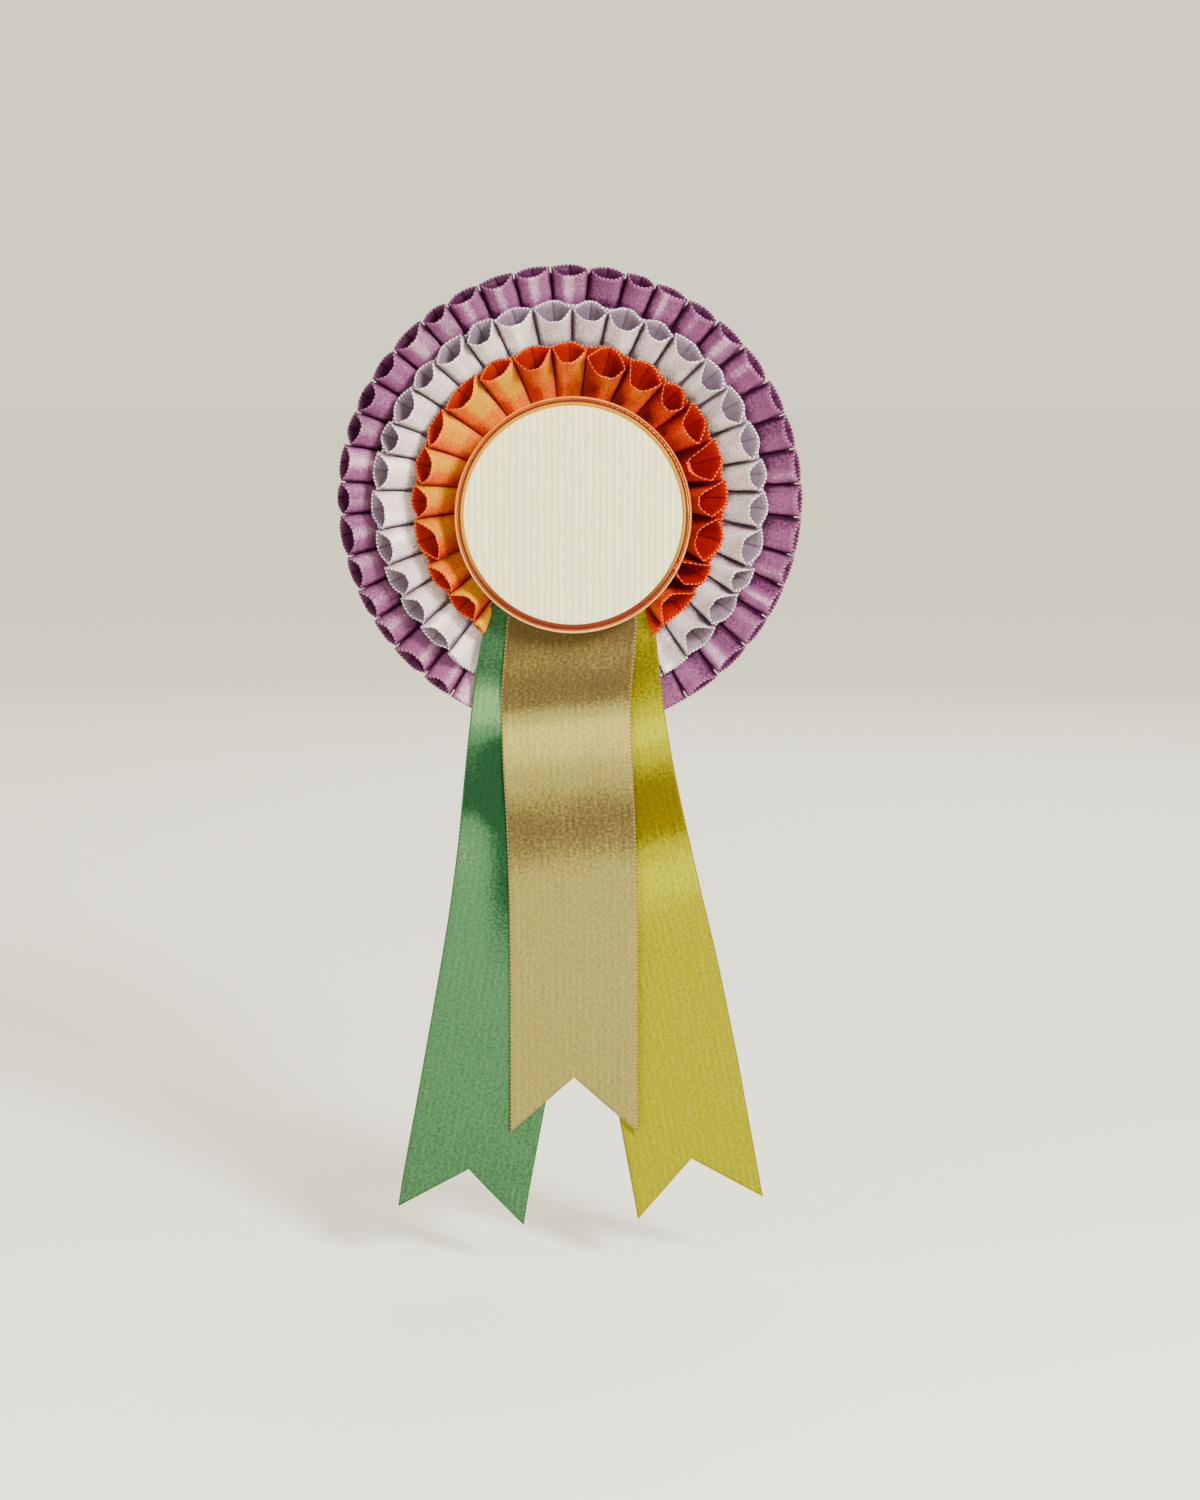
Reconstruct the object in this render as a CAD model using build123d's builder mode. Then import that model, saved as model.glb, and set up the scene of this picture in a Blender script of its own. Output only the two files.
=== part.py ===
from build123d import *
import os
from math import asin, ceil, cos, degrees, radians, sin

# Award rosette with three box-pleated tiers, a rimmed centre button and three
# swallow-tailed streamers, worn on a hinged lapel pin.  Millimetres, +Z up, the face
# looks towards -Y.  The origin is the middle of the pin needle's straight shaft.
# A "depth" is a distance forward of the needle's axis, so it runs along -Y.

# --- driving dimensions -------------------------------------------------------

rosette_drop = 15.0  # rosette's centre below the needle
needle_stand_off = 4.0  # needle's axis behind the back cover
overlap_gap = 0.3  # air between a pleated tier and the one that it lies on
edge_gap = 0.5  # air between a card disc and the ribbon around it

# pleated ribbons
ribbon_width = 24.0
band_width = 3.5  # the pressed, stitched strip at a pleated ribbon's inner edge
band_thickness = 1.4  # three layers of ribbon pressed together
panel_share = 0.92  # how much of a pleat's pitch its front panel fills
mouth_notch = 1.3  # depth of the notch where the folds meet behind a panel
purple_outer_r = 56.3
white_outer_r = 0.851 * purple_outer_r
orange_outer_r = 0.677 * purple_outer_r
purple_pleats = 40
white_pleats = 33
orange_pleats = 24
purple_stand = 6.6  # a panel's front edge above its back edge
white_stand = 5.0
orange_stand = 4.6
purple_inset = 3.0  # a panel's front edge inside its back edge
white_inset = 4.7
orange_inset = 3.7
pressed_stand = 1.6  # the same two sizes where the streamers press the pleats
pressed_inset = 1.0
purple_lift = 0.6  # the back edge's rise above the base card
pressed_spare = 5.5  # pleats are pressed this far beyond a streamer's half width

# stitches
stitch_length = 2.2
stitch_width = 0.5
stitch_height = 0.2

# cards
back_cover_r = 27.0
back_cover_thickness = 1.0
base_card_lap = 8.7  # how far the base card reaches out under the purple ribbon
base_card_r = purple_outer_r - ribbon_width + base_card_lap
base_card_thickness = 2.0
tail_card_width = 18.0
tail_card_foot = 38.0  # its width at the bend line
tail_card_thickness = 0.8
tail_card_top = 9.0  # above the rosette's centre
tail_card_waist = 13.0  # it widens below this drop

# streamers
tail_width = 31.5
tail_thickness = 0.5
tail_layer = 0.8  # one folded ribbon's share of the stack on the tail card
bend_drop = 34.5  # the front streamer's bend line below the rosette's centre
bend_step = 0.8  # each streamer behind bends this much lower
bend_gap = 0.6  # half the gap between a fixed tab and its hanging streamer
fall_start = 38.0  # where the hanging part starts to lean back
fall_end = 62.0
fall_depth = 3.0
tab_shoulder = 30.0  # a tab narrows above this drop
tab_waist = 13.0  # and is straight above this one
tab_top = 8.0
tab_top_width = 17.0
beige_x = 0.9
streamer_count = 3
beige_length = 156.0
beige_notch = 14.0
green_x = -3.7  # centreline at splay_drop
green_splay = -8.75
green_length = 179.1
green_notch = 12.1
lime_x = 4.6
lime_splay = 10.4
lime_length = 178.0
lime_notch = 12.9
splay_drop = 25.0  # where the splayed streamers' centrelines are set

# staples
staple_width = 12.0
staple_wire_r = 0.3
staple_drops = (14.0, 20.0)

# button
button_x = 0.9
button_drop = 3.0
button_depth = 19.4  # rear edge of the shell's wall
shell_r = 27.6
shell_height = 3.6
shell_wall = 0.6
shell_corner_r = 0.2
back_plate_inset = 0.2
back_plate_thickness = 0.6
back_plate_clearance = 0.05
piping_r = 0.35
band_ring_width = 0.45
band_ring_thickness = 0.4
rim_cord_r = 0.45
face_thickness = 0.4
glue_pad_r = 4.5
glue_pad_ring_r = 7.5
glue_pad_count = 3

# lapel pin
shaft_length = 22.0
needle_r = 0.45
point_length = 3.4
point_tip_r = 0.08
eye_r = 1.1
eye_height = 2.2
eye_neck = 0.1  # the shaft's end inside the eye's rim
bar_width = 5.0
bar_thickness = 0.8
bar_overhang = 3.0
pin_rivet_x = 7.5
pin_rivet_r = 0.75
pin_rivet_head_r = 1.5
pin_rivet_head = 0.6
ear_thickness = 0.7
ear_clearance = 0.1
ear_r = 1.15
knuckle_base = 0.5
hinge_rivet_r = 0.5
hinge_rivet_clearance = 0.05
hinge_rivet_head_r = 0.9
hinge_rivet_head = 0.4
collar_inner_r = 1.75
collar_wall = 0.5
collar_length = 2.0
collar_slot = 1.5
collar_start = 0.8  # beyond the end of the straight shaft
stem_width = 2.4
drum_clearance = 0.08
drum_end = 0.4  # drum showing at each end of its collar
drum_bore_r = 0.6
lever_thickness = 0.8
lever_width = 1.4
lever_reach = 3.6

# --- places worked out from them ----------------------------------------------

base_card_depth = needle_stand_off + back_cover_thickness
purple_depth = base_card_depth + base_card_thickness
tier_step = band_thickness + overlap_gap
white_depth = purple_depth + tier_step
orange_depth = white_depth + tier_step

rosette = Plane(origin=(0, 0, -rosette_drop), x_dir=(1, 0, 0), z_dir=(0, -1, 0))
button = Plane(origin=(button_x, 0, -rosette_drop - button_drop), x_dir=(1, 0, 0), z_dir=(0, -1, 0))
bar_face = Plane(origin=(0, 0, 0), x_dir=(1, 0, 0), z_dir=(0, -1, 0))

eye_x = -shaft_length / 2 - eye_r + eye_neck
collar_x = shaft_length / 2 + collar_start


class Tier:
    """One pleated ribbon's sizes, with the tier that it lies on."""

    def __init__(self, outer_r, pleats, depth, stand, inset, under=None):
        self.outer_r = outer_r
        self.inner_r = outer_r - ribbon_width
        self.pleats = pleats
        self.pitch = 360.0 / pleats
        self.depth = depth
        self.stand = stand
        self.inset = inset
        self.under = under
        self.pressed_sides = 0

    def press(self, angle):
        """Presses the pleats within an angle of the bottom, and those below them."""
        self.pressed_sides = ceil(angle / self.pitch + 0.5) - 1
        if self.under is not None:
            self.under.press((self.pressed_sides + panel_share / 2) * self.pitch)

    def back_edge(self, pressed):
        if self.under is None:
            return self.depth + purple_lift
        return self.under.front_at(self.outer_r, pressed) + overlap_gap

    def front_edge(self, pressed):
        if pressed:
            return self.outer_r - pressed_inset, self.back_edge(True) + pressed_stand
        return self.outer_r - self.inset, self.back_edge(False) + self.stand

    def front_at(self, r, pressed):
        band_r = self.inner_r + band_width
        edge_r, edge_depth = self.front_edge(pressed)
        band_depth = self.depth + band_thickness
        return band_depth + (edge_depth - band_depth) * (r - band_r) / (edge_r - band_r)

    def flat_to(self):
        if self.under is None:
            return base_card_r
        return self.under.inner_r + band_width


purple = Tier(purple_outer_r, purple_pleats, purple_depth, purple_stand, purple_inset)
white = Tier(white_outer_r, white_pleats, white_depth, white_stand, white_inset, purple)
orange = Tier(orange_outer_r, orange_pleats, orange_depth, orange_stand, orange_inset, white)
orange.press(degrees(asin((tail_width / 2 + pressed_spare) / orange_outer_r)))

tail_card_depth = orange.front_edge(True)[1] + overlap_gap
tabs_depth = tail_card_depth + tail_card_thickness
pads_depth = tabs_depth + streamer_count * tail_layer

os.makedirs("parts", exist_ok=True)


def save(builder, label):
    builder.part.label = label
    export_step(builder.part, "parts/" + label + ".step")


# --- cards --------------------------------------------------------------------


def card_disc(radius, depth, thickness):
    with BuildPart() as disc:
        with BuildSketch(rosette.offset(depth)):
            Circle(radius)
        extrude(amount=thickness)
    return disc


def riveted_disc(radius, depth, thickness):
    with BuildPart() as disc:
        with BuildSketch(rosette.offset(depth)):
            Circle(radius)
        extrude(amount=thickness)
        with BuildSketch(bar_face.offset(depth)):
            with Locations((-pin_rivet_x, 0), (pin_rivet_x, 0)):
                Circle(pin_rivet_r)
        extrude(amount=thickness, mode=Mode.SUBTRACT)
    return disc


save(riveted_disc(back_cover_r, needle_stand_off, back_cover_thickness), "back_cover")
save(riveted_disc(base_card_r, base_card_depth, base_card_thickness), "base_card")
save(card_disc(purple.inner_r - edge_gap, purple_depth, tier_step), "middle_card")
save(card_disc(white.inner_r - edge_gap, white_depth, tier_step), "inner_card")
save(card_disc(orange.inner_r - edge_gap, orange_depth, tail_card_depth - orange_depth), "centre_card")


def staple_holes():
    """The legs' holes, for a sketch in the rosette's plane."""
    for drop in staple_drops:
        with Locations((-staple_width / 2, -drop), (staple_width / 2, -drop)):
            Circle(staple_wire_r, mode=Mode.SUBTRACT)


with BuildPart() as tail_card:
    half_card = tail_card_width / 2
    card_low = bend_drop - bend_gap
    with BuildSketch(rosette.offset(tail_card_depth)):
        with BuildLine():
            Polyline(
                (-half_card, tail_card_top),
                (half_card, tail_card_top),
                (half_card, -tail_card_waist),
                (tail_card_foot / 2, -card_low),
                (-tail_card_foot / 2, -card_low),
                (-half_card, -tail_card_waist),
                close=True,
            )
        make_face()
        staple_holes()
    extrude(amount=tail_card_thickness)
save(tail_card, "tail_card")


# --- pleated ribbons ----------------------------------------------------------


def panel(tier, pressed):
    """One front panel, in a frame with Z forward and the panel centred on +X."""
    edge_r, edge_depth = tier.front_edge(pressed)
    band_r = tier.inner_r + band_width
    band_depth = tier.depth + band_thickness
    half_mouth = radians(tier.pitch * panel_share / 2) * tier.outer_r
    with BuildPart() as wedge:
        with BuildSketch(Plane.XZ):
            with BuildLine():
                Polyline(
                    (tier.inner_r, tier.depth),
                    (tier.flat_to(), tier.depth),
                    (tier.outer_r, tier.back_edge(pressed)),
                    (edge_r, edge_depth),
                    (band_r, band_depth),
                    (tier.inner_r, band_depth),
                    close=True,
                )
            make_face()
        revolve(axis=Axis.Z, revolution_arc=tier.pitch * panel_share)
    with BuildPart() as notched:
        add(wedge.part, rotation=(0, 0, -tier.pitch * panel_share / 2))
        with BuildSketch(Plane.XY.offset(tier.depth)):
            with BuildLine():
                Polyline(
                    (edge_r - mouth_notch, 0),
                    (tier.outer_r + half_mouth, half_mouth / 2),
                    (tier.outer_r + half_mouth, -half_mouth / 2),
                    close=True,
                )
            make_face()
        extrude(amount=edge_depth, mode=Mode.SUBTRACT)
    return notched.part


def pleated_ribbon(tier):
    """The stitched inner band with a ring of raised panels on it."""
    standing = panel(tier, False)
    pressed = panel(tier, True)
    with BuildPart(rosette) as ribbon:
        with BuildSketch(rosette.offset(tier.depth)):
            Circle(tier.inner_r + band_width)
            Circle(tier.inner_r, mode=Mode.SUBTRACT)
        extrude(amount=band_thickness)
        for i in range(tier.pleats):
            is_pressed = min(i, tier.pleats - i) <= tier.pressed_sides
            with Locations(Location((0, 0, 0), (0, 0, i * tier.pitch - 90))):
                add(pressed if is_pressed else standing)
    return ribbon


def stitching(tier):
    """One stitch to each pleat along the middle of the band."""
    with BuildPart() as stitches:
        with BuildSketch(rosette.offset(tier.depth + band_thickness)):
            with PolarLocations(tier.inner_r + band_width / 2, tier.pleats, start_angle=-90):
                Rectangle(stitch_width, stitch_length)
        extrude(amount=stitch_height)
    return stitches


for tier, tier_name in ((purple, "purple"), (white, "white"), (orange, "orange")):
    save(pleated_ribbon(tier), tier_name + "_ribbon")
    save(stitching(tier), tier_name + "_stitching")


# --- streamers ----------------------------------------------------------------


class Tail:
    """One streamer: its layer on the tail card, its splay, length and notch."""

    def __init__(self, layer, x, splay, length, notch):
        self.depth = tabs_depth + layer * tail_layer
        self.bend = bend_drop + (streamer_count - 1 - layer) * bend_step
        self.x = x
        self.splay = splay
        self.length = length
        self.notch = notch

    def point(self, along, across):
        """A point of the outline: along is measured down the streamer from splay_drop."""
        a = radians(self.splay)
        down = splay_drop + along * cos(a) - across * sin(a)
        return self.x + along * sin(a) + across * cos(a), -down

    def outline(self, top):
        """The streamer's front view below a level line at the drop called top."""
        reach = self.length - splay_drop
        half = tail_width / 2
        left_top = self.edge_point(-half, top)
        right_top = self.edge_point(half, top)
        return [left_top, self.point(reach, -half), self.point(reach - self.notch, 0),
                self.point(reach, half), right_top]

    def edge_point(self, across, drop):
        a = radians(self.splay)
        along = (drop - splay_drop + across * sin(a)) / cos(a)
        return self.point(along, across)


def hanging_tail(tail):
    """A bent strip seen from the side, cut to the streamer's outline from the front."""
    span = 4 * tail_width  # wide enough to be cut to the outline
    side = Plane(origin=(-span / 2, 0, -rosette_drop), x_dir=(0, -1, 0), z_dir=(1, 0, 0))
    top = tail.bend + bend_gap
    low = tail.length + tail_width
    back = tail.depth
    front = tail.depth + tail_thickness
    with BuildPart() as streamer:
        with BuildSketch(side):
            with BuildLine():
                Polyline(
                    (back, top),
                    (back, fall_start),
                    (back - fall_depth, fall_end),
                    (back - fall_depth, low),
                    (front - fall_depth, low),
                    (front - fall_depth, fall_end),
                    (front, fall_start),
                    (front, top),
                    close=True,
                )
            make_face()
        extrude(amount=span)
        with BuildSketch(rosette):
            with BuildLine():
                Polyline(*tail.outline(top), close=True)
            make_face()
        extrude(amount=2 * button_depth, mode=Mode.INTERSECT)
    return streamer


def fixed_tab(tail):
    """The streamer's folded top on the tail card, down to just above its bend line."""
    half = tail_width / 2
    low = tail.bend - bend_gap
    with BuildPart() as tab:
        with BuildSketch(rosette.offset(tail.depth)):
            with BuildLine():
                Polyline(
                    tail.edge_point(-half, low),
                    tail.edge_point(half, low),
                    tail.edge_point(half, tab_shoulder),
                    (tab_top_width / 2, -tab_waist),
                    (tab_top_width / 2, tab_top),
                    (-tab_top_width / 2, tab_top),
                    (-tab_top_width / 2, -tab_waist),
                    tail.edge_point(-half, tab_shoulder),
                    close=True,
                )
            make_face()
            staple_holes()
        extrude(amount=tail_layer)
    return tab


lime = Tail(0, lime_x, lime_splay, lime_length, lime_notch)
green = Tail(1, green_x, green_splay, green_length, green_notch)
beige = Tail(2, beige_x, 0.0, beige_length, beige_notch)

for tail, tail_name in ((lime, "lime"), (green, "green"), (beige, "beige")):
    save(fixed_tab(tail), tail_name + "_tab")
    save(hanging_tail(tail), tail_name + "_tail")

staple_leg = staple_wire_r + streamer_count * tail_layer + tail_card_thickness

with BuildPart() as staples:
    for drop in staple_drops:
        crown = Plane(origin=(0, -pads_depth - staple_wire_r, -rosette_drop - drop), x_dir=(1, 0, 0),
                      z_dir=(0, 0, 1))
        half_crown = staple_width / 2
        with BuildLine():
            Polyline(
                crown.from_local_coords((-half_crown, staple_leg, 0)),
                crown.from_local_coords((-half_crown, 0, 0)),
                crown.from_local_coords((half_crown, 0, 0)),
                crown.from_local_coords((half_crown, staple_leg, 0)),
            )
        with BuildSketch(Plane(origin=crown.from_local_coords((-half_crown, staple_leg, 0)),
                               z_dir=(0, -1, 0))):
            Circle(staple_wire_r)
        sweep(transition=Transition.RIGHT)
save(staples, "staples")


# --- button -------------------------------------------------------------------

plate_depth = button_depth + shell_height
button_axis = Axis(button.origin, button.z_dir)
button_side = Plane(origin=button.origin, x_dir=(1, 0, 0), z_dir=(0, 0, -1))

with BuildPart() as button_shell:
    with BuildSketch(button.offset(button_depth)):
        Circle(shell_r)
    extrude(amount=shell_height)
    with BuildSketch(button.offset(button_depth)):
        Circle(shell_r - shell_wall)
    extrude(amount=shell_height - shell_wall, mode=Mode.SUBTRACT)
    fillet(button_shell.faces().sort_by(Axis.Y)[0].outer_wire().edges(), shell_corner_r)
save(button_shell, "button_shell")

with BuildPart() as button_back:
    with BuildSketch(button.offset(button_depth + back_plate_inset)):
        Circle(shell_r - shell_wall - back_plate_clearance)
    extrude(amount=back_plate_thickness)
save(button_back, "button_back")

with BuildPart() as glue_pads:
    with BuildSketch(button.offset(pads_depth)):
        with PolarLocations(glue_pad_ring_r, glue_pad_count, start_angle=90):
            Circle(glue_pad_r)
    extrude(amount=button_depth + back_plate_inset - pads_depth)
save(glue_pads, "glue_pads")


def ring_of_round(ring_r, wire_r, depth):
    """A closed round cord lying in the button's plane."""
    with BuildPart() as ring:
        with BuildSketch(button_side):
            with Locations((ring_r, depth)):
                Circle(wire_r)
        revolve(axis=button_axis)
    return ring


cord_ring_r = shell_r - shell_corner_r - band_ring_width - rim_cord_r
save(ring_of_round(shell_r + piping_r, piping_r, plate_depth - shell_corner_r), "rim_piping")
save(ring_of_round(cord_ring_r, rim_cord_r, plate_depth + rim_cord_r), "rim_cord")

with BuildPart() as rim_band:
    with BuildSketch(button.offset(plate_depth)):
        Circle(shell_r - shell_corner_r)
        Circle(shell_r - shell_corner_r - band_ring_width, mode=Mode.SUBTRACT)
    extrude(amount=band_ring_thickness)
save(rim_band, "rim_band")

with BuildPart() as button_face:
    with BuildSketch(button.offset(plate_depth)):
        Circle(cord_ring_r - rim_cord_r)
    extrude(amount=face_thickness)
save(button_face, "button_face")


# --- lapel pin ----------------------------------------------------------------

bar_depth = needle_stand_off - bar_thickness
bar_left = eye_x - bar_overhang
bar_right = collar_x + collar_length + bar_overhang

with BuildPart() as pin_bar:
    with BuildSketch(bar_face.offset(bar_depth)):
        with Locations(((bar_left + bar_right) / 2, 0)):
            SlotOverall(bar_right - bar_left, bar_width)
        with Locations((-pin_rivet_x, 0), (pin_rivet_x, 0)):
            Circle(pin_rivet_r, mode=Mode.SUBTRACT)
    extrude(amount=bar_thickness)
save(pin_bar, "pin_bar")

with BuildPart() as pin_rivets:
    with BuildSketch(bar_face.offset(bar_depth - pin_rivet_head)):
        with Locations((-pin_rivet_x, 0), (pin_rivet_x, 0)):
            Circle(pin_rivet_head_r)
    extrude(amount=pin_rivet_head)
    fillet(pin_rivets.edges().group_by(Axis.Y)[-1], pin_rivet_head / 2)
    with BuildSketch(bar_face.offset(bar_depth)):
        with Locations((-pin_rivet_x, 0), (pin_rivet_x, 0)):
            Circle(pin_rivet_r)
    extrude(amount=purple_depth - bar_depth)
save(pin_rivets, "pin_rivets")

ear_inner = eye_height / 2 + ear_clearance
ear_outer = ear_inner + ear_thickness

with BuildPart() as pin_knuckle:
    with BuildSketch(bar_face.offset(bar_depth - knuckle_base)):
        with Locations((eye_x, 0)):
            Rectangle(2 * ear_r, 2 * ear_outer)
    extrude(amount=knuckle_base)
    for ear_z in (ear_inner, -ear_outer):
        with BuildSketch(Plane.XY.offset(ear_z)):
            with Locations((eye_x, 0)):
                Circle(ear_r)
            with Locations((eye_x, -bar_depth / 2)):
                Rectangle(2 * ear_r, bar_depth)
            with Locations((eye_x, 0)):
                Circle(hinge_rivet_r, mode=Mode.SUBTRACT)
        extrude(amount=ear_thickness)
save(pin_knuckle, "pin_knuckle")

with BuildPart() as hinge_rivet:
    with BuildSketch(Plane.XY.offset(-ear_outer)):
        with Locations((eye_x, 0)):
            Circle(hinge_rivet_r)
    extrude(amount=2 * ear_outer)
    for head_z in (ear_outer, -ear_outer - hinge_rivet_head):
        with BuildSketch(Plane.XY.offset(head_z)):
            with Locations((eye_x, 0)):
                Circle(hinge_rivet_head_r)
        extrude(amount=hinge_rivet_head)
save(hinge_rivet, "hinge_rivet")

with BuildPart() as pin_needle:
    with BuildSketch(Plane.XY.offset(-eye_height / 2)):
        with Locations((eye_x, 0)):
            Circle(eye_r)
    extrude(amount=eye_height)
    with BuildSketch(Plane.YZ.offset(-shaft_length / 2 - eye_neck)):
        Circle(needle_r)
    extrude(amount=shaft_length + eye_neck)
    with BuildSketch(Plane.YZ.offset(shaft_length / 2)):
        Circle(needle_r)
    with BuildSketch(Plane.YZ.offset(shaft_length / 2 + point_length)):
        Circle(point_tip_r)
    loft()
    with BuildSketch(Plane.XY.offset(-eye_height / 2)):
        with Locations((eye_x, 0)):
            Circle(hinge_rivet_r + hinge_rivet_clearance)
    extrude(amount=eye_height, mode=Mode.SUBTRACT)
save(pin_needle, "pin_needle")

collar_outer_r = collar_inner_r + collar_wall

with BuildPart() as catch_post:
    with BuildSketch(Plane.YZ.offset(collar_x)):
        Circle(collar_outer_r)
        with Locations((-(bar_depth + collar_inner_r) / 2, 0)):
            Rectangle(bar_depth - collar_inner_r, stem_width)
        Circle(collar_inner_r, mode=Mode.SUBTRACT)
        with Locations((collar_outer_r / 2, 0)):
            Rectangle(collar_outer_r, collar_slot, mode=Mode.SUBTRACT)
    extrude(amount=collar_length)
save(catch_post, "catch_post")

drum_r = collar_inner_r - drum_clearance
drum_length = collar_length + 2 * drum_end + lever_thickness

with BuildPart() as catch_drum:
    with BuildSketch(Plane.YZ.offset(collar_x - drum_end)):
        Circle(drum_r)
    extrude(amount=drum_length)
    with BuildSketch(Plane.YZ.offset(collar_x + collar_length + drum_end)):
        with Locations((0, -lever_reach / 2)):
            Rectangle(lever_width, lever_reach)
    extrude(amount=lever_thickness)
    with BuildSketch(Plane.YZ.offset(collar_x - drum_end)):
        Circle(drum_bore_r)
        with Locations((drum_r, 0)):
            Rectangle(2 * drum_r, 2 * drum_bore_r)
    extrude(amount=drum_length, mode=Mode.SUBTRACT)
save(catch_drum, "catch_drum")
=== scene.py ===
import random
from math import atan2, cos, hypot, pi, radians, sin, tau

import bpy
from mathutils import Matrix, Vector


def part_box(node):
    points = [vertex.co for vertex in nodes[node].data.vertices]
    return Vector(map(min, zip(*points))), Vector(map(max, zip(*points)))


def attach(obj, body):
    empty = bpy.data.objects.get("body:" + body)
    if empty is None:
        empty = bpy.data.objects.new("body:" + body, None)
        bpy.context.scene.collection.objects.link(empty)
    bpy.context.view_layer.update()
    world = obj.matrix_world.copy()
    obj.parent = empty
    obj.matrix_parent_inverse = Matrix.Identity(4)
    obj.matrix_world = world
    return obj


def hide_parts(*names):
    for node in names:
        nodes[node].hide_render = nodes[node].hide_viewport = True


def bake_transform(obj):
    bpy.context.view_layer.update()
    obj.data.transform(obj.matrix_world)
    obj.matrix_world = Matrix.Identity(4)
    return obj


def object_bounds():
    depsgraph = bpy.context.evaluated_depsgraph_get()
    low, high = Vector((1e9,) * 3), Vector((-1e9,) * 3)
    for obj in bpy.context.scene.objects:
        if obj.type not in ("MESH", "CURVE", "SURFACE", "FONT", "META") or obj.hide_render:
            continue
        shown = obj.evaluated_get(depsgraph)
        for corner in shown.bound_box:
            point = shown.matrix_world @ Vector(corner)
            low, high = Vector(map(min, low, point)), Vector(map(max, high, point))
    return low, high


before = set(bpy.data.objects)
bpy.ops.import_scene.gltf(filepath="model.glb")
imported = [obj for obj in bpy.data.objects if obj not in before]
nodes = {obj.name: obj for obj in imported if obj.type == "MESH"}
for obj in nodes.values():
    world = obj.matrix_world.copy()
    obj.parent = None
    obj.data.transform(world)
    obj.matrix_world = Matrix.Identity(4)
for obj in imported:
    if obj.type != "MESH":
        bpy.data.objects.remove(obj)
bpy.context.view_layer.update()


def tint(red, green, blue):
    # screen colour to the linear colour that shaders take
    parts = [(c / 255 / 12.92 if c < 11 else ((c / 255 + 0.055) / 1.055) ** 2.4) for c in (red, green, blue)]
    return (*parts, 1.0)


def ease(x, low, high):
    t = min(max((x - low) / (high - low), 0.0), 1.0)
    return t * t * (3 - 2 * t)


def blendCurve(points, x):
    # a smooth curve through given points, x first
    if x <= points[0][0]:
        return points[0][1]
    for i in range(len(points) - 1):
        (x0, y0), (x1, y1) = points[i], points[i + 1]
        if x <= x1:
            before = points[i - 1] if i else points[i]
            after = points[i + 2] if i + 2 < len(points) else points[i + 1]
            m0 = (y1 - before[1]) / (x1 - before[0]) * (x1 - x0)
            m1 = (after[1] - y0) / (after[0] - x0) * (x1 - x0)
            t = (x - x0) / (x1 - x0)
            a = 2 * t ** 3 - 3 * t ** 2 + 1
            b = t ** 3 - 2 * t ** 2 + t
            c = -2 * t ** 3 + 3 * t ** 2
            d = t ** 3 - t ** 2
            return a * y0 + b * m0 + c * y1 + d * m1
    return points[-1][1]


# camera and lights

view = {
    "lens": 85,
    "distance": 0.863,
    "elevation": 7.5,  # degrees above level
    "sideways": 0.0073,
    "belowRosette": 0.061,
}


def addCamera():
    low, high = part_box("purple_ribbon")
    aim = Vector((view["sideways"], (low.y + high.y) / 2, (low.z + high.z) / 2 - view["belowRosette"]))
    lift = radians(view["elevation"])
    spot = aim + Vector((0, -cos(lift), sin(lift))) * view["distance"]
    bpy.ops.object.camera_add(location=spot, rotation=(pi / 2 - lift, 0, 0))
    camera = bpy.context.object
    camera.data.lens = view["lens"]
    camera.data.sensor_width = 36
    camera.data.clip_start = 0.01
    bpy.context.scene.camera = camera


lamps = {
    "key": {"place": (0.50, -0.82, 0.42), "size": 0.25, "power": 25.0, "colour": (1.0, 0.96, 0.90)},
    "fill": {"place": (-0.80, -0.70, 0.20), "size": 0.7, "power": 6.0, "colour": (0.96, 0.97, 1.0)},
    "back": {"place": (0.2, 0.9, 0.5), "size": 0.8, "power": 5.0, "colour": (1.0, 1.0, 1.0)},
}
room = {"sky": tint(246, 242, 212), "skyPower": 1.4, "floor": tint(250, 248, 238), "floorGap": 0.012}


def addRoom():
    target = Vector((0, 0, -0.05))
    for name, lamp in lamps.items():
        spot = Vector(lamp["place"])
        turn = (target - spot).to_track_quat("-Z", "Y").to_euler()
        bpy.ops.object.light_add(type="AREA", location=spot, rotation=turn)
        light = bpy.context.object
        light.name = name + "Lamp"
        light.data.size = lamp["size"]
        light.data.energy = lamp["power"]
        light.data.color = lamp["colour"]
    world = bpy.data.worlds.new("studio")
    world.use_nodes = True
    world.node_tree.nodes["Background"].inputs["Color"].default_value = room["sky"]
    world.node_tree.nodes["Background"].inputs["Strength"].default_value = room["skyPower"]
    bpy.context.scene.world = world
    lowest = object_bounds()[0][2]
    bpy.ops.mesh.primitive_plane_add(size=12, location=(0, 0, lowest - room["floorGap"]))
    floor = bpy.context.object
    floor.name = "studioFloor"
    paint = bpy.data.materials.new("floorPaint")
    paint.use_nodes = True
    paint.node_tree.nodes["Principled BSDF"].inputs["Base Color"].default_value = room["floor"]
    paint.node_tree.nodes["Principled BSDF"].inputs["Roughness"].default_value = 0.9
    floor.data.materials.append(paint)


addCamera()
addRoom()
print("camera, lights and floor placed")


# shader helpers


def put(tree, kind, wires=(), **settings):
    # a node with its settings; wires are (socket, value or output)
    node = tree.nodes.new(kind)
    for key, value in settings.items():
        setattr(node, key, value)
    for socket, value in wires:
        if isinstance(value, bpy.types.NodeSocket):
            tree.links.new(value, node.inputs[socket])
        else:
            node.inputs[socket].default_value = value
    return node


def calc(tree, operation, a, b=0.0, clamp=False):
    return put(tree, "ShaderNodeMath", [(0, a), (1, b)], operation=operation, use_clamp=clamp).outputs[0]


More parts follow.
